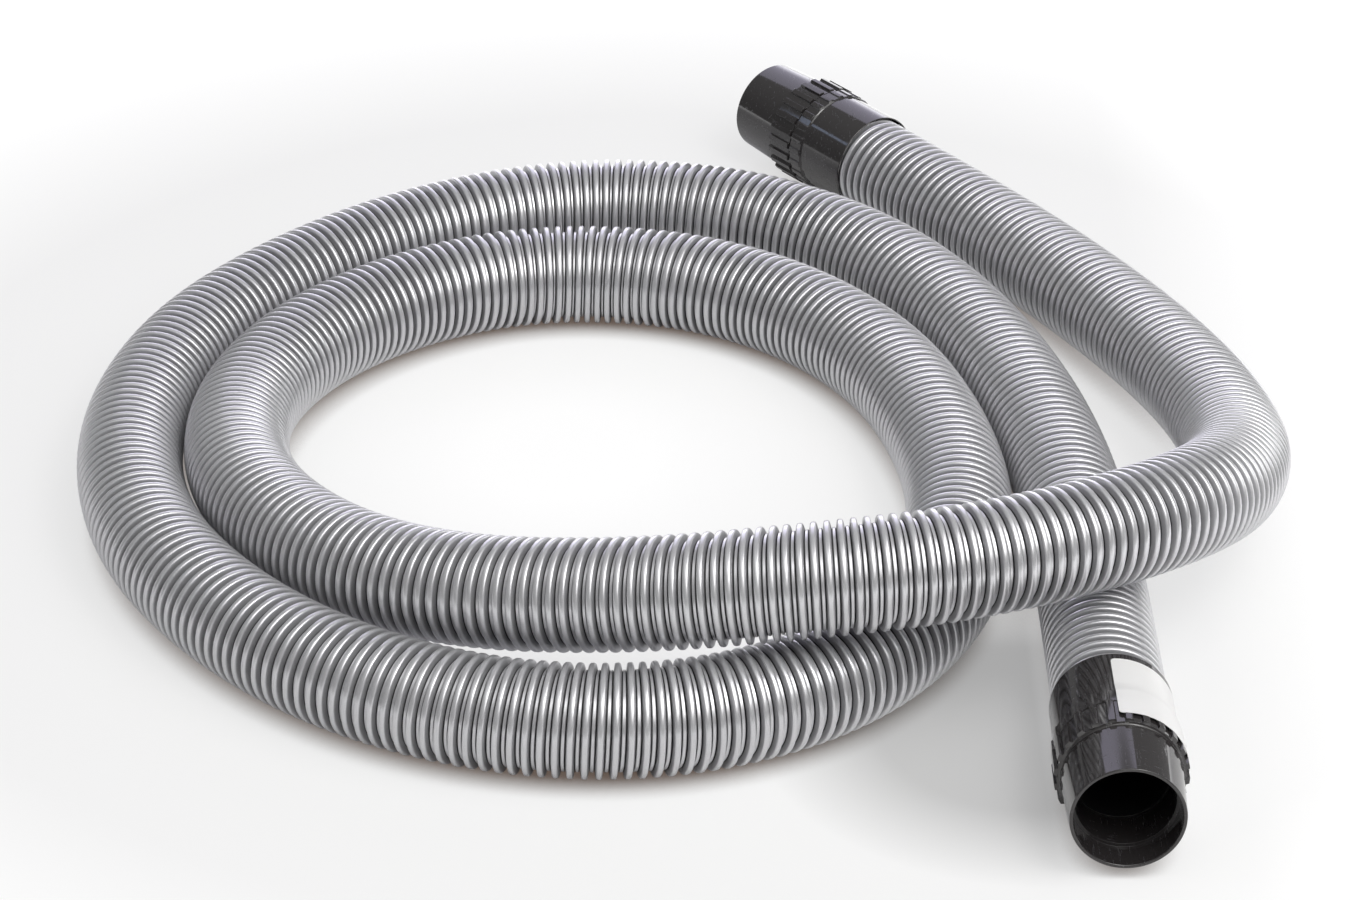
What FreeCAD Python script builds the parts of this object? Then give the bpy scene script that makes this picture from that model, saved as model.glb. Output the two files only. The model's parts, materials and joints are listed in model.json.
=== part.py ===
import FreeCAD, Part
import math
import os
from FreeCAD import Placement, Rotation, Vector

# A ribbed vacuum hose, about 3 m long, that lies in two loose loops with a swivel cuff on each end.
# Millimetres, X to the right, Y to the back, Z up. The floor is Z = 0, and the origin is the middle
# of the whole part's outline on the floor.

# Hose, as a section through its wall
hose_radius = 23.0
rib_height = 3.2
hose_wall = 0.8
rib_count = 200
rib_crest_share = 0.40
rib_flank_share = 0.12
floor_cut = 0.5
self_gap_wanted = 0.4
arc_share = 0.45

# Cuff, with lengths from its open nose towards the hose, and each radius a step out from the last
throat_step = 0.4
socket_step = 1.4
socket_depth = 12.8
nose_wall = 1.5
nose_taper = 1.4
nose_length = 29.5
nose_rounding = 0.5
grip_length = 14.8
grip_rib_height = 1.2
grip_foot_fillet = 0.9
grip_rib_count = 24
grip_rib_share = 0.42
parting_gap = 0.5
pad_length = 8.4
pad_root_step = 0.65
pad_height = 0.6
pad_share = 0.5
mouth_clearance = 0.4
collar_length = 36.0
collar_wall = 1.05
mouth_rounding = 0.35

# How far each screwed half is turned about the cuff's axis, in degrees
nozzle_turn = {"a": 6.0, "b": 0.0}
collar_turn = {"a": 7.5, "b": -2.6}

# Swivel inside the cuff
shoulder_web = 0.8
seal_thickness = 1.0
seal_wall = 3.6
bush_length = 6.2
bush_overhang = 0.2
bush_lip = 0.62
pocket_wall = 0.85
swivel_clearance = 0.08
axial_play = 0.1
slip_clearance = 0.05

# Label on one cuff, with the bare margins before and behind it
label_front_margin = 4.5
label_rear_margin = 4.0
label_thickness = 0.25
label_from_angle = -4.3
label_to_angle = 136.0
label_bridge = 4.0

# Radii that follow from the sizes above
valley_radius = hose_radius - rib_height
bore_radius = valley_radius - hose_wall
throat_radius = bore_radius + throat_step
socket_radius = throat_radius + socket_step
nose_radius = socket_radius + nose_wall
nose_foot_radius = nose_radius + nose_taper
collar_bore = hose_radius + mouth_clearance
collar_radius = collar_bore + collar_wall
pad_root_radius = collar_radius + pad_root_step
pad_top_radius = pad_root_radius + pad_height
bush_radius = collar_bore + bush_lip
pocket_radius = bush_radius + swivel_clearance
spigot_radius = pocket_radius - slip_clearance
grip_root_radius = pocket_radius + pocket_wall
grip_top_radius = grip_root_radius + grip_rib_height

# Stations along the cuff that follow
grip_front = nose_length
grip_rear = grip_front + grip_length
collar_front = grip_rear + parting_gap
pad_rear = collar_front + pad_length
collar_rear = collar_front + collar_length
pocket_front = grip_front + shoulder_web
bush_front = pocket_front + seal_thickness + axial_play
bush_rear = bush_front + bush_length
spigot_front = bush_rear + axial_play
hose_start = bush_front + bush_overhang
plain_end = spigot_front - hose_start
label_start = grip_front + label_front_margin
label_end = collar_rear - label_rear_margin
up = Vector(0, 0, 1)

# Route of the hose's centreline, chosen by hand from one cuff to the other: place on the floor plan
# and lift above the height at which the hose lies flat. lay_middle is the plan's point that ends up
# in the middle of the part's outline.
cuff_nose_up = 0.45
lay_height = hose_radius - floor_cut
end_lift = grip_top_radius - lay_height + cuff_nose_up
lay_middle = (0.771, -3.51)
route = [
    (68.5, 282.5, end_lift),
    (137.5, 198, 0.3),
    (194.5, 93.5, 6.4),
    (230, 6, 12),
    (243, -59.5, 16.5),
    (236, -108.5, 26.5),
    (212, -157, 42.5),
    (169, -196, 51),
    (112.5, -221.5, 53),
    (50, -228.5, 49),
    (-20, -221, 37.5),
    (-90, -199, 26),
    (-145.5, -155, 16),
    (-184.5, -90.5, 10),
    (-193.5, -11, 2.7),
    (-173, 53, 1.2),
    (-129.5, 101, 0.6),
    (-70, 130, 0),
    (-3, 127, 0),
    (54, 96, 0),
    (96, 42, 0),
    (118, -26, 0),
    (124, -97, 0),
    (109.5, -168, 0),
    (67, -224, 0),
    (2, -254, 0),
    (-68, -252, 0),
    (-133.5, -223, 0),
    (-188, -173, 0),
    (-228, -107, 0),
    (-243, -27, 0),
    (-227.5, 53, 0),
    (-184.5, 120, 0),
    (-124.5, 174, 0),
    (-51, 204, 0),
    (24, 197, 0),
    (87, 157, 0),
    (130, 92, 0),
    (157.5, 12, 0),
    (171.5, -75, 0),
    (172.5, -187, 0.3),
    (171, -295.5, end_lift),
]


class Run:
    """A straight stretch of the centreline."""

    def __init__(self, start, way, length):
        self.start = start
        self.way = way
        self.length = length

    def at(self, distance):
        return self.start + self.way * distance, self.way


class Bend:
    """An arc of the centreline that joins two runs."""

    def __init__(self, start, way_in, way_out, radius):
        turn = way_in.getAngle(way_out)
        self.start = start
        self.way = way_in
        self.inwards = (way_out - way_in * math.cos(turn)).normalize()
        self.radius = radius
        self.length = radius * turn

    def at(self, distance):
        turn = distance / self.radius
        ahead = self.way * (self.radius * math.sin(turn))
        aside = self.inwards * (self.radius * (1 - math.cos(turn)))
        tangent = self.way * math.cos(turn) + self.inwards * math.sin(turn)
        return self.start + ahead + aside, tangent


def centreline(points):
    """Runs and bends through the points; each bend takes the same share of its shorter run."""
    pieces = []
    here = points[0]
    for before, corner, after in zip(points, points[1:], points[2:]):
        way_in = (corner - before).normalize()
        way_out = (after - corner).normalize()
        cut_back = arc_share * min((corner - before).Length, (after - corner).Length)
        radius = cut_back / math.tan(way_in.getAngle(way_out) / 2)
        bend_start = corner - way_in * cut_back
        pieces.append(Run(here, way_in, (bend_start - here).Length))
        pieces.append(Bend(bend_start, way_in, way_out, radius))
        here = corner + way_out * cut_back
    last_way = (points[-1] - here).normalize()
    pieces.append(Run(here, last_way, (points[-1] - here).Length))
    return pieces


def place_on(pieces, distance):
    """Point and tangent of the centreline at a distance from its start."""
    for piece in pieces[:-1]:
        if distance <= piece.length:
            return piece.at(distance)
        distance -= piece.length
    return pieces[-1].at(distance)


def ring_on(pieces, distance, radius):
    """A circle square to the centreline, whose X axis stays level."""
    middle, tangent = place_on(pieces, distance)
    level = up.cross(tangent).normalize()
    ring = Part.makeCircle(radius)
    ring.Placement = Placement(middle, Rotation(level, tangent.cross(level), tangent, "ZXY"))
    return Part.Wire(ring)


def ribbed_profile(length):
    """Distance and radius of the four circles of every rib, and of the plain ends."""
    pitch = (length - 2 * plain_end) / rib_count
    flank = rib_flank_share * pitch
    crest = rib_crest_share * pitch
    profile = [(0, valley_radius)]
    for rib in range(rib_count):
        foot = plain_end + (rib + 0.5 * (1 - rib_crest_share) - rib_flank_share) * pitch
        profile.append((foot, valley_radius))
        profile.append((foot + flank, hose_radius))
        profile.append((foot + flank + crest, hose_radius))
        profile.append((foot + 2 * flank + crest, valley_radius))
    profile.append((length, valley_radius))
    return profile


def make_hose(pieces, length):
    """The hose's wall: a ruled loft outside, a smooth bore, and a flat where it lies."""
    profile = ribbed_profile(length)
    outside = Part.makeLoft([ring_on(pieces, s, r) for s, r in profile], True, True)
    valleys = [s for s, r in profile if r == valley_radius]
    valleys[0] -= hose_wall
    valleys[-1] += hose_wall
    bore = Part.makeLoft([ring_on(pieces, s, bore_radius) for s in valleys], True, True)
    wall = outside.cut(bore)
    box = wall.BoundBox
    corner = Vector(box.XMin - hose_radius, box.YMin - hose_radius, -hose_radius)
    floor = Part.makeBox(box.XLength + 2 * hose_radius, box.YLength + 2 * hose_radius, hose_radius, corner)
    return wall.cut(floor)


def wall_volume(length):
    """Section times length, from the frustums between the circles."""
    profile = ribbed_profile(length)
    volume = 0
    for (s1, r1), (s2, r2) in zip(profile, profile[1:]):
        volume += math.pi * (s2 - s1) * ((r1 * r1 + r1 * r2 + r2 * r2) / 3 - bore_radius ** 2)
    return volume


def least_self_gap(pieces, length):
    """Least gap between the hose's crests where it passes itself, measured on points."""
    step = 5.0
    apart = int(4 * hose_radius / step)
    points = [place_on(pieces, s * step)[0] for s in range(int(length / step) + 1)]
    gaps = [
        (points[i] - points[j]).Length - 2 * hose_radius
        for i in range(len(points))
        for j in range(i + apart, len(points))
    ]
    return min(gaps)


def revolved(profile, angle=360):
    """A solid turned round the local Z axis from points of radius and height."""
    corners = [Vector(radius, 0, height) for radius, height in profile]
    face = Part.Face(Part.makePolygon(corners + corners[:1]))
    return face.revolve(Vector(0, 0, 0), up, angle)


def rounded(solid, radius, spots):
    """The solid with the circular edges at these places of radius and height filleted."""
    chosen = []
    for edge in solid.Edges:
        box = edge.BoundBox
        for spot_radius, height in spots:
            same_height = abs(box.ZMin - height) < 0.01 and abs(box.ZMax - height) < 0.01
            if same_height and abs(box.XMax - spot_radius) < 0.05:
                chosen.append(edge)
    return solid.makeFillet(radius, chosen)


def around(piece, count):
    """Copies of a piece, evenly spaced round the local Z axis."""
    copies = []
    for number in range(count):
        turned = piece.copy()
        turned.rotate(Vector(0, 0, 0), up, number * 360 / count)
        copies.append(turned)
    return copies


def make_nozzle():
    """The cuff's front: a push-on socket inside, a tapered nose outside, and the ribbed grip."""
    body = revolved([
        (socket_radius, 0),
        (nose_radius, 0),
        (nose_foot_radius, grip_front),
        (grip_root_radius, grip_front),
        (grip_root_radius, grip_rear),
        (pocket_radius, grip_rear),
        (pocket_radius, pocket_front),
        (throat_radius, pocket_front),
        (throat_radius, socket_depth),
        (socket_radius, socket_depth),
    ])
    body = rounded(body, nose_rounding, [(socket_radius, 0), (nose_radius, 0)])
    body = rounded(body, grip_foot_fillet, [(nose_foot_radius, grip_front)])
    sunk = (grip_root_radius - pocket_radius) / 2
    rib = revolved([
        (grip_root_radius - sunk, grip_front),
        (grip_top_radius - grip_rib_height / 2, grip_front),
        (grip_top_radius, grip_front + grip_rib_height / 2),
        (grip_top_radius, grip_rear),
        (grip_root_radius - sunk, grip_rear),
    ], grip_rib_share * 360 / grip_rib_count)
    return body.multiFuse(around(rib, grip_rib_count)).removeSplitter()


def make_collar():
    """The cuff's rear: a spigot that screws into the nozzle, pads, and a sleeve over the hose."""
    body = revolved([
        (collar_bore, spigot_front),
        (spigot_radius, spigot_front),
        (spigot_radius, collar_front),
        (pad_root_radius, collar_front),
        (pad_root_radius, pad_rear - (pad_root_radius - collar_radius)),
        (collar_radius, pad_rear),
        (collar_radius, collar_rear),
        (collar_bore, collar_rear),
    ])
    body = rounded(body, mouth_rounding, [(collar_radius, collar_rear), (collar_bore, collar_rear)])
    sunk = (pad_root_radius - spigot_radius) / 2
    pad = revolved([
        (pad_root_radius - sunk, collar_front),
        (pad_top_radius, collar_front),
        (pad_top_radius, pad_rear - 2 * pad_height),
        (pad_root_radius, pad_rear - pad_height),
        (pad_root_radius - sunk, pad_rear - pad_height),
    ], pad_share * 360 / grip_rib_count)
    return body.multiFuse(around(pad, grip_rib_count)).removeSplitter()


def make_bush():
    """The ring fixed on the hose's plain end, which turns in the nozzle's pocket."""
    return revolved([
        (valley_radius + slip_clearance, bush_front),
        (bush_radius, bush_front),
        (bush_radius, bush_rear),
        (valley_radius + slip_clearance, bush_rear),
    ])


def make_seal():
    """The flat rubber ring between the nozzle's shoulder and the bush."""
    seal_bore = throat_radius + slip_clearance
    return revolved([
        (seal_bore, pocket_front),
        (seal_bore + seal_wall, pocket_front),
        (seal_bore + seal_wall, pocket_front + seal_thickness),
        (seal_bore, pocket_front + seal_thickness),
    ])


def make_label():
    """A blank film stuck over the grip and the sleeve, bridging the step between them."""
    under = [
        (grip_top_radius, label_start),
        (grip_top_radius, grip_rear),
        (pad_top_radius, pad_rear - 2 * pad_height),
        (collar_radius, pad_rear + label_bridge),
        (collar_radius, label_end),
    ]
    inner = [(radius + slip_clearance, height) for radius, height in under]
    outer = [(radius + label_thickness, height) for radius, height in inner]
    film = revolved(inner + outer[::-1], label_to_angle - label_from_angle)
    film.rotate(Vector(0, 0, 0), up, 90 + label_from_angle)
    return film


def cuff_place(hose_end, way_in):
    """Placement of a cuff whose local Z runs into the hose and whose local Y is up."""
    raised = (up - way_in * up.dot(way_in)).normalize()
    turn = Rotation(raised.cross(way_in), raised, way_in, "ZXY")
    return Placement(hose_end - way_in * hose_start, turn)


def save(name, shape):
    """Checks a sub-part and writes it."""
    if not shape.isValid():
        raise ValueError(name + " is not a valid solid")
    shape.exportStep("parts/" + name + ".step")
    print(f"{name}: {len(shape.Solids)} solid, volume {shape.Volume:.0f}")


os.makedirs("parts", exist_ok=True)

points = [Vector(x - lay_middle[0], y - lay_middle[1], lay_height + lift) for x, y, lift in route]
pieces = centreline(points)
length = sum(piece.length for piece in pieces)
bends = [piece for piece in pieces if isinstance(piece, Bend)]
print(f"hose length {length:.1f}, {rib_count} ribs")
print("bend radii in hose diameters:", [round(bend.radius / hose_radius / 2, 1) for bend in bends])
print(f"least gap of the hose to itself {least_self_gap(pieces, length):.2f}, wanted over {self_gap_wanted}")

hose = make_hose(pieces, length)
print(f"hose volume {hose.Volume:.0f}, section times length {wall_volume(length):.0f}")
save("hose", hose)

start, start_way = place_on(pieces, 0)
end, end_way = place_on(pieces, length)
cuffs = {"a": cuff_place(start, start_way), "b": cuff_place(end, end_way * -1)}
unturned = {"a": 0.0, "b": 0.0}
makers = {
    "nozzle": (make_nozzle, nozzle_turn),
    "collar": (make_collar, collar_turn),
    "hose_bush": (make_bush, unturned),
    "seal_ring": (make_seal, unturned),
}
for kind, (make, turns) in makers.items():
    piece = make()
    for letter, place in cuffs.items():
        placed = piece.copy()
        placed.Placement = place.multiply(Placement(Vector(0, 0, 0), Rotation(up, turns[letter])))
        save(kind + "_" + letter, placed)
label = make_label()
label.Placement = cuffs["b"].multiply(label.Placement)
save("label", label)

for letter, place in cuffs.items():
    nose = place.Base
    axis = place.Rotation.multVec(up)
    print(f"cuff {letter}: nose {nose.x:.3f} {nose.y:.3f} {nose.z:.3f}, axis {axis.x:.5f} {axis.y:.5f} {axis.z:.5f}")
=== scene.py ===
import json
import math

import bpy
import numpy as np
from mathutils import Matrix, Vector


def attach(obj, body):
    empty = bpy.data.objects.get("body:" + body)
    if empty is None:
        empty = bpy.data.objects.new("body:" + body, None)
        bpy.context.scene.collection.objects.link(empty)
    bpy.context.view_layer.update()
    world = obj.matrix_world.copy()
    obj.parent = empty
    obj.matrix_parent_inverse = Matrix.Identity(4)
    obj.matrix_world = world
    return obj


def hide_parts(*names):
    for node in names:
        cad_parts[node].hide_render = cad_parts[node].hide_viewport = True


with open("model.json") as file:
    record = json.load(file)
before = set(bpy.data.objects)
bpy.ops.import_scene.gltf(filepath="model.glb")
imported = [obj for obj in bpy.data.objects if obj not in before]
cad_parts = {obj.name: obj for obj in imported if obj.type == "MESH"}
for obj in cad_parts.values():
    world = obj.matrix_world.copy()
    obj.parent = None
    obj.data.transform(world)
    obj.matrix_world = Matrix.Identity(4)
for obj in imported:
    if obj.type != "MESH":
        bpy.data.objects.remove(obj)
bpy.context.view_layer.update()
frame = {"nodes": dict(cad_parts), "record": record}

# A ribbed vacuum hose that lies in two loose loops, with a glossy black swivel cuff on each end and a
# blank label on one of them. Sizes are in millimetres, and mm turns them to metres.
mm = 0.001

# Hose
hose_radius = 23.0
rib_height = 3.2
hose_wall = 0.8
floor_cut = 0.5
rib_pitch = 5.28
lay_height = hose_radius - floor_cut
valley_radius = hose_radius - rib_height
bore_radius = valley_radius - hose_wall
wall_thickness = 0.2
skin_gap = 0.02
wall_radius = bore_radius + wall_thickness
skin_radius = wall_radius + skin_gap
plain_end = 7.0
stretch_reach = 6.0

# Rib's outline over one pitch, from groove to groove: share of the pitch, and depth below the crest
band_outline = [(0.0, 3.65), (0.03, 3.6), (0.048, 3.04), (0.085, 2.86),
                (0.25, 2.86), (0.287, 3.04), (0.305, 3.6)]
flank_outline = [(0.335, 3.65), (0.42, 1.05)]
crest_outline = [(0.435, 0.70), (0.457, 0.42), (0.492, 0.23), (0.54, 0.09), (0.60, 0.015),
                 (0.74, 0.015), (0.80, 0.09), (0.848, 0.23), (0.883, 0.42), (0.905, 0.70)]
last_flank = [(0.92, 1.05)]
crest_middle = 0.67
crest_half = 0.235

# How deep the painted shade in the grooves is over one pitch: share of the pitch, and 0 on top to 1 in a
# groove
groove_stops = [(0.0, 1.0), (0.03, 1.0), (0.06, 0.2), (0.09, 0.0), (0.245, 0.0), (0.275, 0.2),
                (0.305, 1.0), (0.34, 1.0), (0.365, 0.45), (0.42, 0.2), (0.45, 0.0), (0.89, 0.0),
                (0.92, 0.2), (0.965, 0.45), (0.985, 1.0), (1.0, 1.0)]

# Route of the hose's centreline from one cuff to the other: place on the floor plan
# and lift above the height at which the hose lies flat
lay_middle = (0.771, -3.51)
end_lift = 4.1
route = [
    (68.5, 282.5, end_lift),
    (137.5, 198, 0.3),
    (194.5, 93.5, 6.4),
    (230, 6, 12),
    (243, -59.5, 16.5),
    (236, -108.5, 26.5),
    (212, -157, 42.5),
    (169, -196, 51),
    (112.5, -221.5, 53),
    (50, -228.5, 49),
    (-20, -221, 37.5),
    (-90, -199, 26),
    (-145.5, -155, 16),
    (-186.3, -90.5, 10),
    (-195.5, -11, 2.7),
    (-173, 53, 1.2),
    (-129.5, 101, 0.6),
    (-70, 130, 0),
    (-3, 127, 0),
    (54, 96, 0),
    (96, 42, 0),
    (118, -26, 0),
    (124, -97, 0),
    (109.5, -168, 0),
    (67, -224, 0),
    (2, -254, 0),
    (-68, -252, 0),
    (-133.5, -223, 0),
    (-188, -173, 0),
    (-228, -107, 0),
    (-243, -27, 0),
    (-227.5, 53, 0),
    (-184.5, 120, 0),
    (-124.5, 174, 0),
    (-51, 204, 0),
    (24, 197, 0),
    (87, 157, 0),
    (130, 92, 0),
    (157.5, 12, 0),
    (171.5, -75, 0),
    (172.5, -187, 0.3),
    (171, -295.5, end_lift),
]

# Cuff, with heights along its axis from the open nose towards the hose
nose_radius = 22.3
nose_foot_radius = 23.7
nose_length = 29.5
rim_rounding = 0.5
socket_radius = 20.8
socket_depth = 12.8
throat_radius = 19.4
grip_root_radius = 24.95
grip_rib_height = 1.2
grip_rib_inset = 0.32
grip_foot_fillet = 1.15
grip_rear = 44.3
pocket_radius = 24.1
pocket_front = 30.3
collar_front = 44.8
collar_radius = 24.45
collar_bore = 23.4
collar_rear = 80.8
mouth_rounding = 0.5
mouth_flare_length = 3.0
pad_root_radius = 25.1
pad_rear = 53.2
pad_height = 0.6
pad_inset = 0.3
pad_slope = 1.0
spigot_radius = 24.05
spigot_front = 37.7
edge_bevel = 0.38

# How far each screwed half's ribs are turned about the cuff's axis, in degrees
nozzle_turn = {"a": 5.5, "b": 0.0}
collar_turn = {"a": 7.5, "b": -2.6}

# Label on cuff b, with its angles from the top
label_front = 34.0
label_rear = 76.8
label_start_angle = -4.3
label_steps = 70
label_clearance = 0.05
label_thickness = 0.2
label_bridge = 4.0
label_corner = 1.6
label_rings = 44
label_easings = 6

# Mesh
steps_round = 48
hose_spans = 7
wall_step = 4.0
cuff_sides = 96
sides_per_rib = 4
label_sides = 180
bevel_segments = 2
flat_weight = 90
outward_share = 0.9
smooth_angle = math.radians(32)

# Camera, which looks down at the middle of the plan
camera_lens = 106.73
camera_sensor = 36.0
camera_distance = 1802.3
camera_pitch = 29.86
camera_reach = 20

# Floor, as (metres, level) stops of its glows, painted light and painted shade along X, Y or the distance
# from a place
floor_size = 12
floor_level = 0.85
floor_level_seen = 0.26
# Painted shade near the part: the floor glows more away from it, to the camera and in reflections
away_stops = [(0.36, 0.0), (0.62, 1.0)]
# Painted light: the floor glows more in the loop's middle
loop_middle = (-0.05, 0, 0)
middle_stops = [(0.04, 1.0), (0.14, 0.0)]
# Painted reflection: the floor at the front right glows more to glossy rays
right_stops = [(0.18, 0.0), (0.28, 1.0)]
front_stops = [(-0.32, 1.0), (-0.22, 0.0)]
# Painted light: no contact shadow behind, at the left, under cuff a's nose
left_stops = [(0.05, 1.0), (0.09, 0.0)]
back_stops = [(0.20, 0.0), (0.25, 1.0)]
# Painted light: the floor glows more to the right
flank_stops = [(0.22, 0.0), (0.34, 1.0)]
# Painted reflection: the floor behind glows more to glossy rays
rear_stops = [(0.35, 0.0), (0.42, 1.0)]
# Painted shadow of the crossing strand, to the left of cuff b's strand
crossing_shadow_place = (0.14, -0.22, 0)
crossing_shadow_stops = [(0.06, 1.0), (0.11, 0.0)]
crossing_shadow_side_stops = [(0.145, 1.0), (0.17, 0.0)]
floor_glow_seen = 0.69
floor_glow_mirrored = 0.12

# Painted shadow where the part rests, from ambient occlusion: how far it reaches in metres, its (openness,
# level) stops and colour
contact_reach = 0.022
contact_stops = [(0.08, 0.0), (0.55, 1.0)]
contact_shadow_brown = (0.17, 0.125, 0.10, 1)

# Surround, as (direction's Y or Z, level) stops, and its least level
room_level = 0.25
ceiling_stops = [(0.0, 0.0), (0.25, 0.1), (0.9, 1.0)]
backdrop_stops = [(0.0, 0.0), (0.9, 1.0)]
backdrop_height_stops = [(0.0, 1.0), (0.5, 0.0)]
low_stops = [(0.93, 0.0), (0.975, 1.0)]
low_height_stops = [(0.0, 1.0), (0.35, 0.0)]

# Finishes
silver_level = 0.572
groove_painted_shade = 0.92
silver_metallic = 0.62
cuff_black = (0.030, 0.027, 0.0275, 1)
cuff_index = 1.6
label_shade = (0.80, 0.79, 0.77, 1)

# Colours of the lamps
warm_white = (1.0, 0.995, 0.98)
lilac = (0.81, 0.77, 1.0)
pale_blue = (0.6, 0.72, 1.0)


class Socket:
    """A shader socket; an expression on it adds the Math nodes that it needs."""

    def __init__(self, shader, link):
        self.shader = shader
        self.link = link

    def math(self, operation, *values):
        return self.shader.node("Math", {"operation": operation}, values)

    def __add__(self, other):
        return self.math("ADD", self, other)

    def __radd__(self, other):
        return self.math("ADD", other, self)

    def __rsub__(self, other):
        return self.math("SUBTRACT", other, self)

    def __mul__(self, other):
        return self.math("MULTIPLY", self, other)

    def __rmul__(self, other):
        return self.math("MULTIPLY", other, self)


class Shader:
    """The nodes of one material, or of the surround."""

    def __init__(self, owner):
        owner.use_nodes = True
        self.owner = owner
        self.tree = owner.node_tree
        self.tree.nodes.clear()

    def node(self, kind, settings=None, values=(), output=0):
        """Adds a node, sets it, fills its sockets by number or by name, and returns an output."""
        made = self.tree.nodes.new("ShaderNode" + kind)
        for name, setting in (settings or {}).items():
            if name == "stops":
                self.set_stops(made.color_ramp, setting)
            else:
                setattr(made, name, setting)
        pairs = values.items() if isinstance(values, dict) else enumerate(values)
        for name, value in pairs:
            if isinstance(value, Socket):
                self.tree.links.new(value.link, made.inputs[name])
            else:
                made.inputs[name].default_value = value
        return Socket(self, made.outputs[output]) if made.outputs else None

    def set_stops(self, ramp, stops):
        while len(ramp.elements) > 1:
            ramp.elements.remove(ramp.elements[-1])
        ramp.elements[0].position, ramp.elements[0].color = stops[0]
        for position, colour in stops[1:]:
            ramp.elements.new(position).color = colour

    def mix(self, factor, first, second):
        """A colour between two colours."""
        values = {"Factor": factor, 6: first, 7: second}
        return self.node("Mix", {"data_type": "RGBA"}, values, output=2)

    def steps(self, value, *stops):
        """A number that follows another through (position, level) stops."""
        ramp = [(position, (level, level, level, 1)) for position, level in stops]
        return self.node("ValToRGB", {"stops": ramp}, [value])

    def part(self, vector, letter):
        """One number of a vector."""
        return self.node("SeparateXYZ", None, [vector], output=letter)

    def grain(self, vector, stretch, detail=2.0, roughness=0.5):
        """Noise from 0 to 1, finer along each axis that is stretched more."""
        placed = self.node("Mapping", None, {"Vector": vector, "Scale": stretch})
        values = {"Vector": placed, "Scale": 1.0, "Detail": detail, "Roughness": roughness}
        return self.node("TexNoise", None, values)

    def relief(self, height, strength, depth):
        """A bumped normal from a height in 0 to 1 and its depth in millimetres."""
        return self.node("Bump", None, {"Strength": strength, "Distance": depth * mm, "Height": height})

    def surface(self, **values):
        """The material, from the values of its main shader's sockets."""
        named = {}
        for name, value in values.items():
            named[name.replace("_", " ").title().replace("Ior", "IOR")] = value
        self.finish_with(self.node("BsdfPrincipled", None, named))
        return self.owner

    def finish_with(self, shader, kind="OutputMaterial"):
        self.node(kind, None, {"Surface": shader})


def grey(level, blue=0.0):
    """A grey colour, a little bluer by blue."""
    return (level - blue / 2, level - blue / 2, level + blue, 1)


def new_finish(name):
    return Shader(bpy.data.materials.new(name))


def hose_finish():
    """Satin silver plastic: lines drawn along the strip, painted shade in the grooves, and a fine metallic
    grain.
    """
    shader = new_finish("hose_silver_plastic")
    strip = shader.node("UVMap", {"uv_map": "strip"})
    place = shader.node("TexCoord", None, (), output="Object")
    across = shader.part(strip, "Y")
    groove = shader.steps(across, *groove_stops)
    lines = shader.grain(strip, (0.05, 10.0, 1.0), detail=3.0, roughness=0.6)
    pearl = shader.grain(place, (2200.0, 2200.0, 2200.0), detail=1.0)
    cloud = shader.grain(place, (30.0, 30.0, 30.0), detail=3.0)
    # The grooves' colour is darkened as painted shade between the ribs
    level = (silver_level + 0.11 * pearl + 0.08 * cloud) * (1.0 - groove_painted_shade * groove)
    colour = shader.mix(level, grey(0.0), grey(1.0, 0.02))
    rough = 0.235 + 0.08 * lines + 0.12 * groove + 0.04 * cloud
    drawn = shader.relief(lines, 0.6, 0.05)
    return shader.surface(base_color=colour, metallic=silver_metallic, roughness=rough, normal=drawn)


def cuff_finish():
    """Glossy black plastic with fine rubbed scratches."""
    shader = new_finish("cuff_black_plastic")
    place = shader.node("TexCoord", None, (), output="Object")
    rubbed = shader.grain(place, (1100.0, 90.0, 700.0), detail=3.0, roughness=0.7)
    crossed = shader.grain(place, (160.0, 900.0, 260.0), detail=3.0, roughness=0.7)
    scratch = shader.steps(rubbed, (0.60, 0.0), (0.66, 1.0)) + shader.steps(crossed, (0.64, 0.0), (0.70, 1.0))
    cloud = shader.grain(place, (45.0, 45.0, 45.0), detail=3.0)
    rough = 0.05 + 0.05 * cloud + 0.22 * scratch
    colour = shader.mix(scratch * 0.6, cuff_black, grey(0.08, 0.004))
    cut = shader.relief(scratch, 0.2, 0.02)
    return shader.surface(base_color=colour, roughness=rough, ior=cuff_index, normal=cut)


def label_finish():
    """Blank white film with a soft sheen."""
    shader = new_finish("label_white_film")
    place = shader.node("TexCoord", None, (), output="Object")
    cloud = shader.grain(place, (60.0, 60.0, 60.0), detail=4.0)
    fibre = shader.grain(place, (1500.0, 1500.0, 1500.0), detail=2.0)
    colour = shader.mix(0.35 * cloud + 0.15 * fibre, grey(0.90, 0.004), label_shade)
    rough = 0.30 + 0.15 * cloud
    waves = shader.relief(cloud, 0.25, 0.08)
    return shader.surface(base_color=colour, roughness=rough, normal=waves)


def bush_finish():
    """Dull dark grey plastic of the ring fixed on the hose."""
    shader = new_finish("bush_grey_plastic")
    place = shader.node("TexCoord", None, (), output="Object")
    cloud = shader.grain(place, (400.0, 400.0, 400.0), detail=3.0)
    colour = shader.mix(cloud, grey(0.10), grey(0.16))
    return shader.surface(base_color=colour, roughness=0.42 + 0.15 * cloud)


def seal_finish():
    """Matt black rubber."""
    shader = new_finish("seal_black_rubber")
    place = shader.node("TexCoord", None, (), output="Object")
    cloud = shader.grain(place, (700.0, 700.0, 700.0), detail=3.0)
    colour = shader.mix(cloud, grey(0.012), grey(0.03))
    rough = 0.6 + 0.2 * cloud
    grain = shader.relief(cloud, 0.3, 0.03)
    return shader.surface(base_color=colour, roughness=rough, normal=grain)


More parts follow.
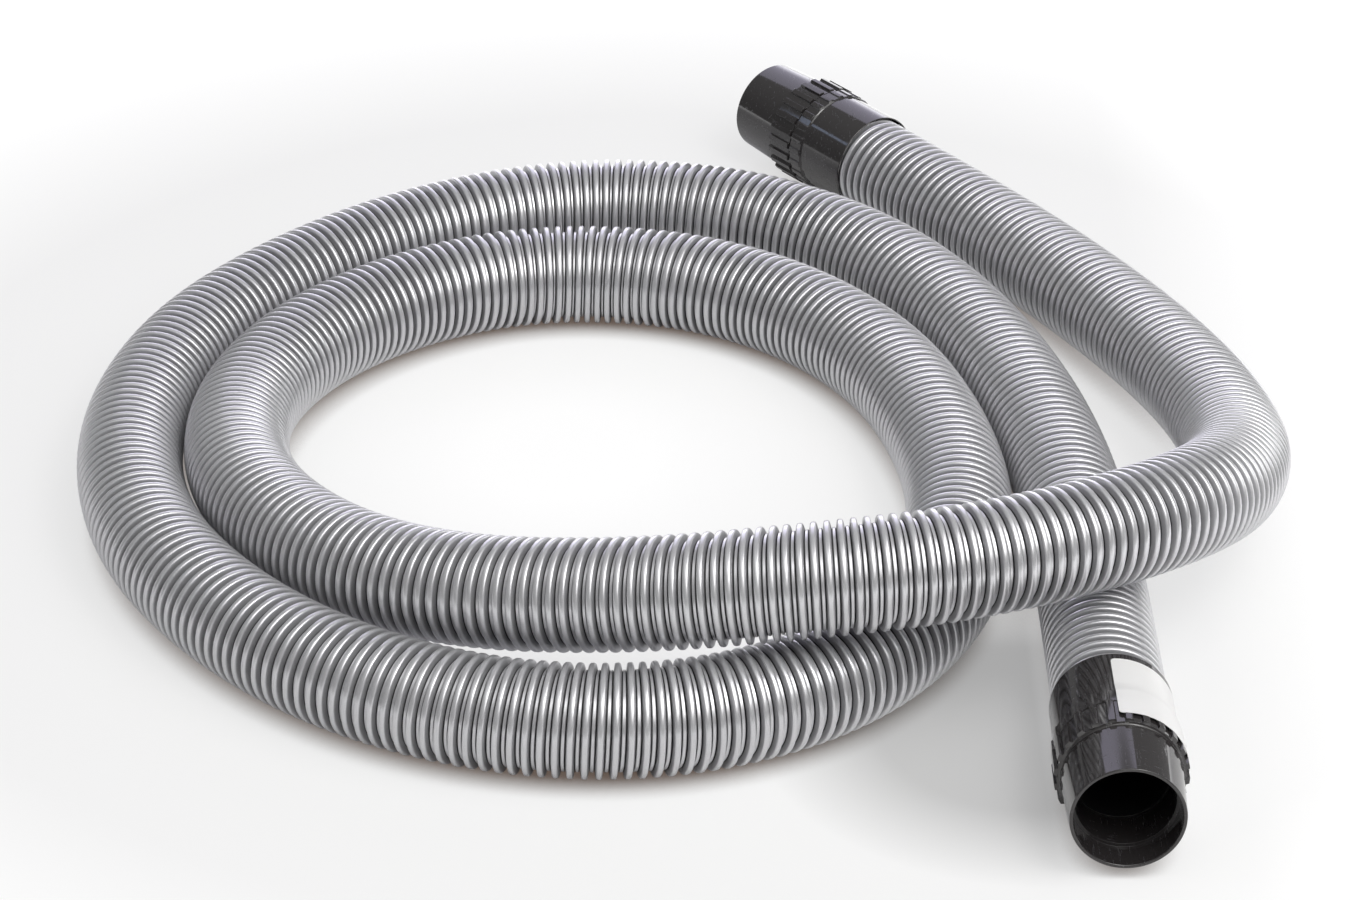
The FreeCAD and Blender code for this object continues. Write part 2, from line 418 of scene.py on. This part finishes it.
def floor_finish():
    """A white floor that glows to the camera, more away from the part as painted light, and warmly dims where
    the part rests as painted shadow.
    """
    shader = new_finish("floor_white")
    seen = shader.node("LightPath", output="Is Camera Ray")
    mirrored = shader.node("LightPath", output="Is Glossy Ray")
    place = shader.node("TexCoord", None, (), output="Object")
    distance = shader.node("VectorMath", {"operation": "LENGTH"}, [place], output="Value")
    # Painted shade near the part, as more glow away from it
    away = shader.steps(distance, *away_stops)
    # Painted light in the loop's middle
    inside = shader.node("VectorMath", {"operation": "DISTANCE"}, [place, loop_middle], output="Value")
    middle = shader.steps(inside, *middle_stops)
    aside = shader.part(place, "X")
    depth = shader.part(place, "Y")
    # Painted reflection at the front right
    right = shader.steps(aside, *right_stops) * shader.steps(depth, *front_stops)
    # Painted light behind at the left: the contact shadow is taken away under cuff a's nose
    behind = shader.steps(aside, *left_stops) * shader.steps(depth, *back_stops)
    # Painted light to the right
    flank = shader.steps(aside, *flank_stops)
    # Painted reflection behind
    rear = shader.steps(depth, *rear_stops)
    # Painted shadow of the crossing strand on the floor
    crossing = shader.node("VectorMath", {"operation": "DISTANCE"}, [place, crossing_shadow_place], output="Value")
    crossing_shadow = shader.steps(crossing, *crossing_shadow_stops) * shader.steps(aside, *crossing_shadow_side_stops)
    # Painted shadow where the part rests: the glow dims warmly by ambient occlusion
    near = shader.node("AmbientOcclusion", None, {"Distance": contact_reach}, output="AO")
    clear = shader.steps(near, *contact_stops)
    under = shader.mix(seen, grey(floor_level), grey(floor_level_seen))
    diffuse = shader.node("BsdfDiffuse", None, {"Color": under})
    contact_shadow_tint = shader.mix(clear + (1.0 - clear) * behind, contact_shadow_brown, grey(1.0))
    # Glow to the camera: even, plus the painted light
    seen_glow_and_painted_light = floor_glow_seen + 0.3 * away + 0.1 * middle + 0.2 * flank
    # Glow to glossy rays: even, plus the painted reflections
    mirrored_glow_and_painted_reflection = floor_glow_mirrored + 0.5 * away + 0.12 * right + 0.8 * rear
    level = seen * seen_glow_and_painted_light * (1.0 - 0.5 * crossing_shadow) + mirrored * mirrored_glow_and_painted_reflection
    glow = shader.node("Emission", None, {"Color": contact_shadow_tint, "Strength": level})
    shader.finish_with(shader.node("AddShader", None, [diffuse, glow]))
    return shader.owner


class Centreline:
    """The hose's middle line, as points and directions by the distance from cuff a's end."""

    def __init__(self, points):
        self.points = points
        stretches = np.linalg.norm(np.diff(points, axis=0), axis=1)
        self.distance = np.concatenate([[0], np.cumsum(stretches)])
        self.length = self.distance[-1]
        way = np.gradient(points, self.distance, axis=0)
        self.way = way / np.linalg.norm(way, axis=1)[:, None]

    def around(self, distance, turn, radius):
        """Points at an angle from the top round the line, never under the floor."""
        place = np.stack([np.interp(distance, self.distance, self.points[:, k]) for k in range(3)], -1)
        way = np.stack([np.interp(distance, self.distance, self.way[:, k]) for k in range(3)], -1)
        side = np.cross(way, (0, 0, 1))
        side /= np.linalg.norm(side, axis=-1)[..., None]
        upward = np.cross(side, way)
        sideways = side * (radius * np.sin(turn))[..., None]
        upwards = upward * (radius * np.cos(turn))[..., None]
        spot = place + sideways + upwards
        spot[..., 2] = np.maximum(spot[..., 2], 0)
        return spot

    def stretch(self, distance, turn):
        """How much longer the hose's skin is at an angle than its middle line, because of the bend."""
        radius = hose_radius + 0 * distance
        ahead = self.around(distance + stretch_reach, turn, radius)
        behind = self.around(distance - stretch_reach, turn, radius)
        return np.linalg.norm(ahead - behind, axis=-1) / (2 * stretch_reach)


def read_route():
    """The route's smooth spline, as points in millimetres."""
    curve = bpy.data.curves.new("route", "CURVE")
    curve.dimensions = "3D"
    curve.resolution_u = 24
    spline = curve.splines.new("NURBS")
    spline.points.add(len(route) - 1)
    for point, (x, y, lift) in zip(spline.points, route):
        place = Vector((x - lay_middle[0], y - lay_middle[1], lay_height + lift)) * mm
        point.co = place.to_4d()
    spline.order_u = 3
    spline.use_endpoint_u = True
    holder = bpy.data.objects.new("route", curve)
    line = bpy.data.meshes.new_from_object(holder)
    points = np.array([vertex.co for vertex in line.vertices]) / mm
    bpy.data.objects.remove(holder)
    return points


def new_piece(name, points, faces):
    """A mesh piece from points in millimetres and faces."""
    mesh = bpy.data.meshes.new(name)
    mesh.from_pydata((points * mm).tolist(), [], faces)
    piece = bpy.data.objects.new(name, mesh)
    bpy.context.scene.collection.objects.link(piece)
    return piece


def keep_crest_width(shares, stretch):
    """Shares of the pitch moved so that a bend changes the gaps between ribs and not the crests."""
    middle = np.where(shares < crest_middle - 0.5, crest_middle - 1, crest_middle)
    aside = shares - middle
    away = np.abs(aside)
    half = crest_half / stretch
    beyond = half + (away - crest_half) * (0.5 - half) / (0.5 - crest_half)
    return middle + np.sign(aside) * np.where(away < crest_half, away / stretch, beyond)


def make_ribs(line):
    """The wound ribs, as spans of one continuous strip whose turns share their edges."""
    outline = band_outline + flank_outline + crest_outline + last_flank
    shares = np.array([share for share, depth in outline])
    radii = hose_radius - np.array([depth for share, depth in outline])
    turns = round((line.length - 2 * plain_end) / rib_pitch)
    pitch = (line.length - 2 * plain_end) / turns
    ribs = []
    per_span = turns // hose_spans
    for span in range(hose_spans):
        first = span * per_span
        last = turns - 1 if span == hose_spans - 1 else first + per_span
        step = np.arange(first * steps_round, last * steps_round + 1)
        start = (plain_end + step / steps_round * pitch)[:, None]
        turn = -(2 * np.pi / steps_round) * step[:, None]
        stretch = line.stretch(start + crest_middle * pitch, turn)
        distance = start + keep_crest_width(shares[None, :], stretch) * pitch
        spots = line.around(distance, turn + 0 * distance, radii + 0 * distance)
        closing = line.around(start + pitch, turn, radii[0] + 0 * start)[:, 0]
        under = line.around(start, turn, skin_radius + 0 * start)[:, 0]
        under_closing = line.around(start + pitch, turn, skin_radius + 0 * start)[:, 0]
        ribs.append(rib_span(f"hose_ribs_{span + 1}", spots, closing, under, under_closing, shares))
    return ribs


def rib_span(name, spots, closing, under, under_closing, shares):
    """One span: the ribbed skin, a plain skin under it, and the ends between them.

    A turn's last edge is the next turn's first, or closing on the last turn. The strip winds
    clockwise, so its faces are flipped at the end to point outwards."""
    steps, width = spots.shape[:2]
    whole = steps - steps_round
    edge = steps * width
    under_start = edge + steps_round
    under_edge = under_start + steps
    points = np.concatenate([spots.reshape(-1, 3), closing[whole:], under, under_closing[whole:]])

    def turn_on(step, row, first):
        """The point one turn on from a step, in the skin whose points start at first."""
        closing_first = edge if row > 1 else under_edge
        return np.where(step < whole, (step + steps_round) * row + first, closing_first + step - whole)

    step = np.arange(steps - 1)[:, None]
    across = np.arange(width)[None, :]
    near = step * width + across
    inside = across < width - 1
    far = np.where(inside, near + 1, turn_on(step, width, 0))
    far_ahead = np.where(inside, near + width + 1, turn_on(step + 1, width, 0))
    skin = np.stack([near, near + width, far_ahead, far], -1).reshape(-1, 4)
    step = step[:, 0]
    inner = under_start + step
    inner_far = turn_on(step, 1, under_start)
    inner_far_ahead = turn_on(step + 1, 1, under_start)
    lining = np.stack([inner, inner_far, inner_far_ahead, inner + 1], -1)
    start = np.arange(steps_round)
    outer_first = start * width
    inner_first = under_start + start
    front = np.stack([outer_first, inner_first, inner_first + 1, outer_first + width], -1)
    outer_end = edge + start[:-1]
    inner_end = under_edge + start[:-1]
    back = np.stack([outer_end, outer_end + 1, inner_end + 1, inner_end], -1)
    faces = np.concatenate([skin, lining, front, back]).tolist()
    rim_end = int(turn_on(np.array(0), width, 0))
    faces.append(list(range(width)) + [rim_end, under_start + steps_round, under_start])
    faces.append([under_start + steps - 1, under_edge + steps_round - 1, edge + steps_round - 1]
                 + list(range(steps * width - 1, (steps - 1) * width - 1, -1)))
    piece = new_piece(name, points, faces)
    mesh = piece.data
    levels = np.append(shares, 1.0)
    u = step[:, None] / steps_round + 0 * across
    low = levels[across] + 0 * u
    high = levels[across + 1] + 0 * u
    ahead = u + 1 / steps_round
    corners = np.stack([u, low, ahead, low, ahead, high, u, high], -1).ravel()
    along = np.zeros(2 * len(mesh.loops), np.float32)
    along[:len(corners)] = corners
    mesh.uv_layers.new(name="strip").data.foreach_set("uv", along)
    mesh.flip_normals()
    return piece


def make_wall(line):
    """The hose's wall inside the ribs: a tube with a smooth bore, closed at both ends."""
    rings = int(line.length / wall_step)
    distance = np.linspace(0, line.length, rings)[:, None]
    turn = np.linspace(0, -2 * np.pi, steps_round, endpoint=False)[None, :]
    shape = distance + 0 * turn
    outside = line.around(shape, turn + 0 * shape, wall_radius + 0 * shape)
    inside = line.around(shape, turn + 0 * shape, bore_radius + 0 * shape)
    loop = np.concatenate([outside, inside[::-1]])
    count = 2 * rings
    ring = np.arange(count)[:, None]
    spot = np.arange(steps_round)[None, :]
    near = ring * steps_round + spot
    beside = ring * steps_round + (spot + 1) % steps_round
    ahead = (near + steps_round) % (count * steps_round)
    beside_ahead = (beside + steps_round) % (count * steps_round)
    faces = np.stack([near, ahead, beside_ahead, beside], -1).reshape(-1, 4)
    return new_piece("hose_wall", loop.reshape(-1, 3), faces.tolist())


def smooth(piece):
    """Smooth shading, with the edges sharper than the smooth angle kept."""
    bpy.ops.object.select_all(action="DESELECT")
    piece.select_set(True)
    bpy.context.view_layer.objects.active = piece
    bpy.ops.object.shade_smooth_by_angle(angle=smooth_angle)


def draw_ring(name, sides, outline, kept_sides=None):
    """A turned skin: a circle, or its first sides, drawn out through an outline of radius and height."""
    bpy.ops.object.select_all(action="DESELECT")
    radius, height = outline[0]
    bpy.ops.mesh.primitive_circle_add(vertices=sides, radius=radius * mm, location=(0, 0, height * mm))
    piece = bpy.context.object
    piece.name = piece.data.name = name
    bpy.ops.object.transform_apply(location=True)
    if kept_sides:
        for number, vertex in enumerate(piece.data.vertices):
            vertex.select = number > kept_sides
        select_edges_and_faces(piece, False)
        bpy.ops.object.mode_set(mode="EDIT")
        bpy.ops.mesh.delete(type="VERT")
    bpy.ops.object.mode_set(mode="EDIT")
    bpy.ops.mesh.select_mode(type="VERT")
    bpy.ops.mesh.select_all(action="SELECT")
    for next_radius, next_height in outline[1:]:
        step = (0, 0, (next_height - height) * mm)
        bpy.ops.mesh.extrude_region_move(TRANSFORM_OT_translate={"value": step})
        grow = next_radius / radius
        bpy.ops.transform.resize(value=(grow, grow, 1), center_override=(0, 0, 0))
        radius, height = next_radius, next_height
    bpy.ops.object.mode_set(mode="OBJECT")
    return piece


def select_edges_and_faces(piece, state):
    for part in (piece.data.edges, piece.data.polygons):
        part.foreach_set("select", np.full(len(part), state))


def close_ring(piece):
    """Joins a turned skin's last ring to its first, with its faces outwards."""
    bpy.ops.object.mode_set(mode="EDIT")
    bpy.ops.mesh.select_mode(type="EDGE")
    bpy.ops.mesh.select_all(action="DESELECT")
    bpy.ops.mesh.select_non_manifold(extend=False)
    bpy.ops.mesh.bridge_edge_loops()
    bpy.ops.mesh.select_all(action="SELECT")
    bpy.ops.mesh.normals_make_consistent(inside=False)
    bpy.ops.object.mode_set(mode="OBJECT")


def raise_blocks(piece, low, high, inset, height):
    """Raises every other pair of sides, between two heights on the outside, into a rib or pad."""
    mesh = piece.data
    pair = 360 / cuff_sides * sides_per_rib
    for part in (mesh.vertices, mesh.edges):
        part.foreach_set("select", np.zeros(len(part), bool))
    for face in mesh.polygons:
        x, y, z = face.center / mm
        outwards = face.normal.x * x + face.normal.y * y
        angle = math.degrees(math.atan2(y, x)) % pair
        faces_out = outwards > outward_share * math.hypot(x, y)
        face.select = low < z < high and faces_out and angle < pair / 2
    bpy.context.view_layer.objects.active = piece
    bpy.ops.object.mode_set(mode="EDIT")
    bpy.ops.mesh.select_mode(type="FACE")
    bpy.ops.mesh.inset(thickness=inset * mm, depth=height * mm)
    bpy.ops.object.mode_set(mode="OBJECT")


def bevel_edges(piece, width):
    """Rounds the edges, shades all smooth and keeps the flat faces flat."""
    modifier = piece.modifiers.new("edges", "BEVEL")
    modifier.width = width * mm
    modifier.segments = bevel_segments
    modifier.limit_method = "ANGLE"
    modifier.angle_limit = smooth_angle
    bpy.ops.object.modifier_apply(modifier=modifier.name)
    bpy.ops.object.shade_smooth()
    flats = piece.modifiers.new("flats", "WEIGHTED_NORMAL")
    flats.weight = flat_weight
    bpy.ops.object.modifier_apply(modifier=flats.name)


def cuff_place(letter):
    """The place of a cuff whose own Z runs into the hose and whose own Y is up."""
    mount = next(mount for mount in frame["record"]["mounts"] if mount["name"] == "nose_" + letter)
    inwards = -Vector(mount["axis"])
    upwards = Vector((0, 0, 1))
    raised = (upwards - inwards * upwards.dot(inwards)).normalized()
    turned = Matrix((raised.cross(inwards), raised, inwards)).transposed().to_4x4()
    return Matrix.Translation(mount["pos_m"]) @ turned


def put_on_cuff(piece, letter, turn):
    """Moves a finished piece to its cuff, with its place in its mesh."""
    piece.data.transform(cuff_place(letter) @ Matrix.Rotation(math.radians(turn), 4, "Z"))
    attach(piece, "cuff_" + letter)


def arc(middle_radius, middle_height, radius, first, last, count=4):
    """Points of radius and height on an arc between two angles in degrees."""
    points = []
    for angle in np.radians(np.linspace(first, last, count)):
        points.append((middle_radius + radius * math.cos(angle), middle_height + radius * math.sin(angle)))
    return points


def make_nozzle(letter):
    """The cuff's front: a push-on socket inside, a tapered nose, and the ribbed grip."""
    outline = [(socket_radius, socket_depth), (socket_radius, rim_rounding)]
    outline += arc(socket_radius + rim_rounding, rim_rounding, rim_rounding, 180, 270)
    outline += arc(nose_radius - rim_rounding, rim_rounding, rim_rounding, 270, 360)
    foot = nose_foot_radius + grip_foot_fillet
    outline += arc(foot, nose_length - grip_foot_fillet, grip_foot_fillet, 180, 90)
    outline += [(grip_root_radius, nose_length), (grip_root_radius, grip_rear), (pocket_radius, grip_rear),
                (pocket_radius, pocket_front), (throat_radius, pocket_front), (throat_radius, socket_depth)]
    piece = draw_ring("nozzle_shell_" + letter, cuff_sides, outline)
    close_ring(piece)
    raise_blocks(piece, nose_length, grip_rear, grip_rib_inset, grip_rib_height)
    bevel_edges(piece, edge_bevel)
    put_on_cuff(piece, letter, nozzle_turn[letter])
    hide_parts("nozzle_" + letter)
    return piece


def make_collar(letter):
    """The cuff's rear: a spigot that screws into the nozzle, pads, and a sleeve over the hose."""
    pad_foot = pad_rear - pad_root_radius + collar_radius
    mouth_start = collar_rear - mouth_rounding
    outline = [(collar_bore, spigot_front), (spigot_radius, spigot_front), (spigot_radius, collar_front),
               (pad_root_radius, collar_front), (pad_root_radius, pad_foot), (collar_radius, pad_rear),
               (collar_radius, mouth_start)]
    outline += arc(collar_radius - mouth_rounding, mouth_start, mouth_rounding, 0, 105, 5)[1:]
    outline.append((collar_bore, collar_rear - mouth_flare_length))
    piece = draw_ring("collar_shell_" + letter, cuff_sides, outline)
    close_ring(piece)
    raise_blocks(piece, collar_front, pad_rear - pad_slope, pad_inset, pad_height)
    bevel_edges(piece, edge_bevel)
    put_on_cuff(piece, letter, collar_turn[letter])
    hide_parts("collar_" + letter)
    return piece


def make_label():
    """A blank film stuck over the grip's ribs and the sleeve, bridging the step between them."""
    grip = grip_root_radius + grip_rib_height + label_clearance
    sleeve = collar_radius + label_clearance
    pads = pad_root_radius + pad_height + label_clearance
    corners = [(grip, label_front), (grip, grip_rear), (pads, pad_rear - 2 * pad_height),
               (sleeve, pad_rear + label_bridge), (sleeve, label_rear)]
    corner_radii, corner_heights = zip(*corners)
    heights = np.linspace(label_front, label_rear, label_rings)
    radii = np.interp(heights, corner_heights, corner_radii)
    for _ in range(label_easings):
        radii[1:-1] = np.maximum(radii[1:-1], (radii[:-2] + radii[2:]) / 2)
    piece = draw_ring("label_film", label_sides, list(zip(radii, heights)), label_steps)
    round_corners(piece)
    modifier = piece.modifiers.new("film", "SOLIDIFY")
    modifier.thickness = label_thickness * mm
    modifier.offset = 1.0
    bpy.ops.object.modifier_apply(modifier=modifier.name)
    smooth(piece)
    put_on_cuff(piece, "b", label_start_angle)
    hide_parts("label")
    return piece


def round_corners(piece):
    """Pulls the points near the film's corners onto quarter circles."""
    widest = math.radians(360 / label_sides * label_steps)
    for vertex in piece.data.vertices:
        x, y, z = vertex.co / mm
        radius = math.hypot(x, y)
        turn = math.atan2(-x, y) % (2 * math.pi)
        far_side = turn > widest / 2
        far_end = z > (label_front + label_rear) / 2
        aside = radius * (widest - turn if far_side else turn)
        along = label_rear - z if far_end else z - label_front
        if aside < label_corner and along < label_corner:
            in_side = label_corner - aside
            in_end = label_corner - along
            shrink = 1 - max(in_side, in_end) / max(math.hypot(in_side, in_end), 1e-6)
            shift = in_side * shrink / radius * (-1 if far_side else 1)
            turn += shift
            z += in_end * shrink * (-1 if far_end else 1)
            vertex.co = Vector((-radius * math.sin(turn), radius * math.cos(turn), z)) * mm


def make_camera():
    """The camera at the photograph's viewing angle."""
    data = bpy.data.cameras.new("camera")
    data.lens = camera_lens
    data.sensor_width = camera_sensor
    data.sensor_fit = "HORIZONTAL"
    data.clip_end = camera_reach
    camera = bpy.data.objects.new("camera", data)
    pitch = math.radians(camera_pitch)
    camera.rotation_euler = (math.pi / 2 - pitch, 0, 0)
    back = camera_distance * mm * math.cos(pitch)
    height = camera_distance * mm * math.sin(pitch)
    camera.location = (-lay_middle[0] * mm, -lay_middle[1] * mm - back, height)
    bpy.context.scene.collection.objects.link(camera)
    bpy.context.scene.camera = camera


def add_lamp(name, azimuth, elevation, distance, size, power, colour=(1, 1, 1)):
    """A soft rectangular lamp that faces the part; its azimuth is 0 at the back and 90 at the right."""
    data = bpy.data.lights.new(name, "AREA")
    data.shape = "RECTANGLE"
    data.size, data.size_y = size
    data.energy = power
    data.color = colour
    lamp = bpy.data.objects.new(name, data)
    azimuth = math.radians(azimuth)
    elevation = math.radians(elevation)
    level = distance * math.cos(elevation)
    place = Vector((level * math.sin(azimuth), level * math.cos(azimuth), distance * math.sin(elevation)))
    lamp.location = place
    lamp.rotation_euler = (-place).to_track_quat("-Z", "Y").to_euler()
    bpy.context.scene.collection.objects.link(lamp)


def make_surround():
    """A pale room: brighter overhead and behind the part, dimmer in front, and white to the camera."""
    world = bpy.data.worlds.new("surround")
    bpy.context.scene.world = world
    shader = Shader(world)
    way = shader.node("TexCoord", None, (), output="Generated")
    height = shader.part(way, "Z")
    depth = shader.part(way, "Y")
    ceiling = shader.steps(height, *ceiling_stops)
    backdrop = shader.steps(depth, *backdrop_stops) * shader.steps(height, *backdrop_height_stops)
    sight = shader.node("LightPath", output="Is Camera Ray")
    low = shader.steps(depth, *low_stops) * shader.steps(height, *low_height_stops)
    mirrored = shader.node("LightPath", output="Is Glossy Ray")
    level = room_level + 0.30 * ceiling + 0.20 * backdrop + 2.5 * low * mirrored
    seen = level * (0.5 + 0.5 * mirrored) * (1.0 - sight) + sight
    shader.finish_with(shader.node("Background", None, {"Strength": seen}), "OutputWorld")


def make_stage():
    """Floor, lamps and a white surround."""
    bpy.ops.object.select_all(action="DESELECT")
    bpy.ops.mesh.primitive_plane_add(size=floor_size, location=(0, 0, 0))
    floor = bpy.context.object
    floor.name = "floor"
    floor.data.materials.append(floor_finish())
    add_lamp("lamp_front_right", azimuth=138, elevation=55, distance=2.0,
             size=(2.3, 1.7), power=27, colour=warm_white)
    add_lamp("lamp_front_right_core", azimuth=139, elevation=53, distance=1.9,
             size=(0.5, 0.5), power=5, colour=warm_white)
    add_lamp("lamp_front_left", azimuth=-130, elevation=66, distance=2.0, size=(1.3, 0.9), power=2)
    add_lamp("lamp_back_left", azimuth=-2, elevation=22, distance=2.2,
             size=(1.6, 1.6), power=10.5, colour=lilac)
    add_lamp("lamp_back_right", azimuth=61, elevation=8, distance=2.2, size=(1.0, 0.6), power=5)
    add_lamp("lamp_left_spot", azimuth=-70.5, elevation=35.2, distance=2.0,
             size=(0.2, 0.12), power=0.15, colour=pale_blue)
    make_surround()
    bpy.context.scene.view_settings.view_transform = "Standard"


def paint(piece, material):
    """Gives a piece its material."""
    piece.data.materials.clear()
    piece.data.materials.append(material)


make_camera()

line = Centreline(read_route())
wall = make_wall(line)
ribs = make_ribs(line)
silver = hose_finish()
for piece in [wall] + ribs:
    smooth(piece)
    paint(piece, silver)
    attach(piece, "root")
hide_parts("hose")

black = cuff_finish()
shells = []
for letter in "ab":
    shells += [make_nozzle(letter), make_collar(letter)]
for piece in shells:
    paint(piece, black)
label = make_label()
paint(label, label_finish())
fixed = []
for letter in "ab":
    bush = frame["nodes"]["hose_bush_" + letter]
    seal = frame["nodes"]["seal_ring_" + letter]
    paint(bush, bush_finish())
    paint(seal, seal_finish())
    fixed += [bush, seal]

make_stage()
